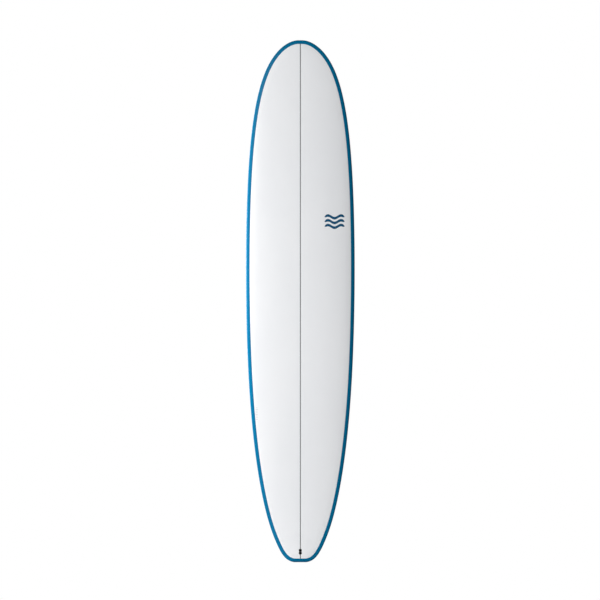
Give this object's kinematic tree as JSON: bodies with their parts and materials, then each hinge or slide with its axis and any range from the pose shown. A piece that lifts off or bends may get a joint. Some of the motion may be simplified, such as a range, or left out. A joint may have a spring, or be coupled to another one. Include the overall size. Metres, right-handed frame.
{
  "type": "surfboard",
  "caption": "Longboard surfboard with a white deck, blue rails, wooden stringer, leash plug, sliding centre fin and two removable side fins.",
  "frame": {"origin": "middle of the box at its base, where the flat of the tail rests: the board stands on its tail", "axes": "+Z from tail to nose along the straight middle of the board, the deck faces -Y, the bottom and the fins face +Y, +X to the right of the deck seen with the nose up"},
  "size_m": [0.5718, 0.2773, 2.7432],
  "materials": {
    "core_foam": "closed-cell foam, shaped and sanded",
    "block_foam": "dense closed-cell foam",
    "stringer_wood": "bare basswood",
    "white_laminate": "glass cloth in resin, white, sanded and polished",
    "blue_laminate": "glass cloth in resin, tinted blue, polished",
    "pinline_resin": "dark grey resin line under the gloss coat",
    "box_plastic": "moulded black plastic",
    "fin_laminate": "glass-filled black fin, satin",
    "steel": "stainless steel",
    "brass": "plain brass",
    "bar_steel": "stainless steel, dulled"
  },
  "bodies": {
    "board": {"foam_core_left": "core_foam", "foam_core_right": "core_foam", "fin_box_block": "block_foam", "side_block_left": "block_foam", "side_block_right": "block_foam", "leash_block": "block_foam", "stringer": "stringer_wood", "deck_skin": "white_laminate", "bottom_skin": "white_laminate", "rail_wrap_left": "blue_laminate", "rail_wrap_right": "blue_laminate", "centre_pinline": "pinline_resin", "fin_box": "box_plastic", "leash_plug": "box_plastic", "leash_bar": "bar_steel", "side_plug_left_front": "box_plastic", "side_plug_left_rear": "box_plastic", "side_plug_right_front": "box_plastic", "side_plug_right_rear": "box_plastic"},
    "centre_fin": {"centre_fin": "fin_laminate", "fin_roll_pin": "brass", "fin_plate": "brass"},
    "fin_screw": {"fin_screw": "steel"},
    "side_fin_left": {"side_fin_left": "fin_laminate"},
    "side_fin_right": {"side_fin_right": "fin_laminate"},
    "grub_screw_left_front": {"grub_screw_left_front": "steel"},
    "grub_screw_left_rear": {"grub_screw_left_rear": "steel"},
    "grub_screw_right_front": {"grub_screw_right_front": "steel"},
    "grub_screw_right_rear": {"grub_screw_right_rear": "steel"}
  },
  "joints": [
    {"name": "centre_fin_slide", "type": "slide", "parent": "board", "child": "centre_fin", "axis": [0, 0.1213, 0.9926], "range_m": [-0.038, 0.038]},
    {"name": "fin_screw_turn", "type": "hinge", "parent": "centre_fin", "child": "fin_screw", "pos_m": [0, -0.03545, 0.32544], "axis": [0, 0.9926, -0.1213], "continuous": true},
    {"name": "side_fin_left_pull", "type": "slide", "parent": "board", "child": "side_fin_left", "axis": [-0.0784, 0.9924, -0.0953], "range_m": [0, 0.02]},
    {"name": "side_fin_right_pull", "type": "slide", "parent": "board", "child": "side_fin_right", "axis": [0.0784, 0.9924, -0.0953], "range_m": [0, 0.02]},
    {"name": "grub_screw_left_front_turn", "type": "hinge", "parent": "board", "child": "grub_screw_left_front", "pos_m": [-0.15405, -0.03084, 0.37178], "axis": [0.1649, 0.9809, -0.1027], "continuous": true},
    {"name": "grub_screw_left_rear_turn", "type": "hinge", "parent": "board", "child": "grub_screw_left_rear", "pos_m": [-0.15561, -0.03521, 0.32752], "axis": [0.1649, 0.9809, -0.1027], "continuous": true},
    {"name": "grub_screw_right_front_turn", "type": "hinge", "parent": "board", "child": "grub_screw_right_front", "pos_m": [0.15405, -0.03084, 0.37178], "axis": [-0.1649, 0.9809, -0.1027], "continuous": true},
    {"name": "grub_screw_right_rear_turn", "type": "hinge", "parent": "board", "child": "grub_screw_right_rear", "pos_m": [0.15561, -0.03521, 0.32752], "axis": [-0.1649, 0.9809, -0.1027], "continuous": true}
  ]
}
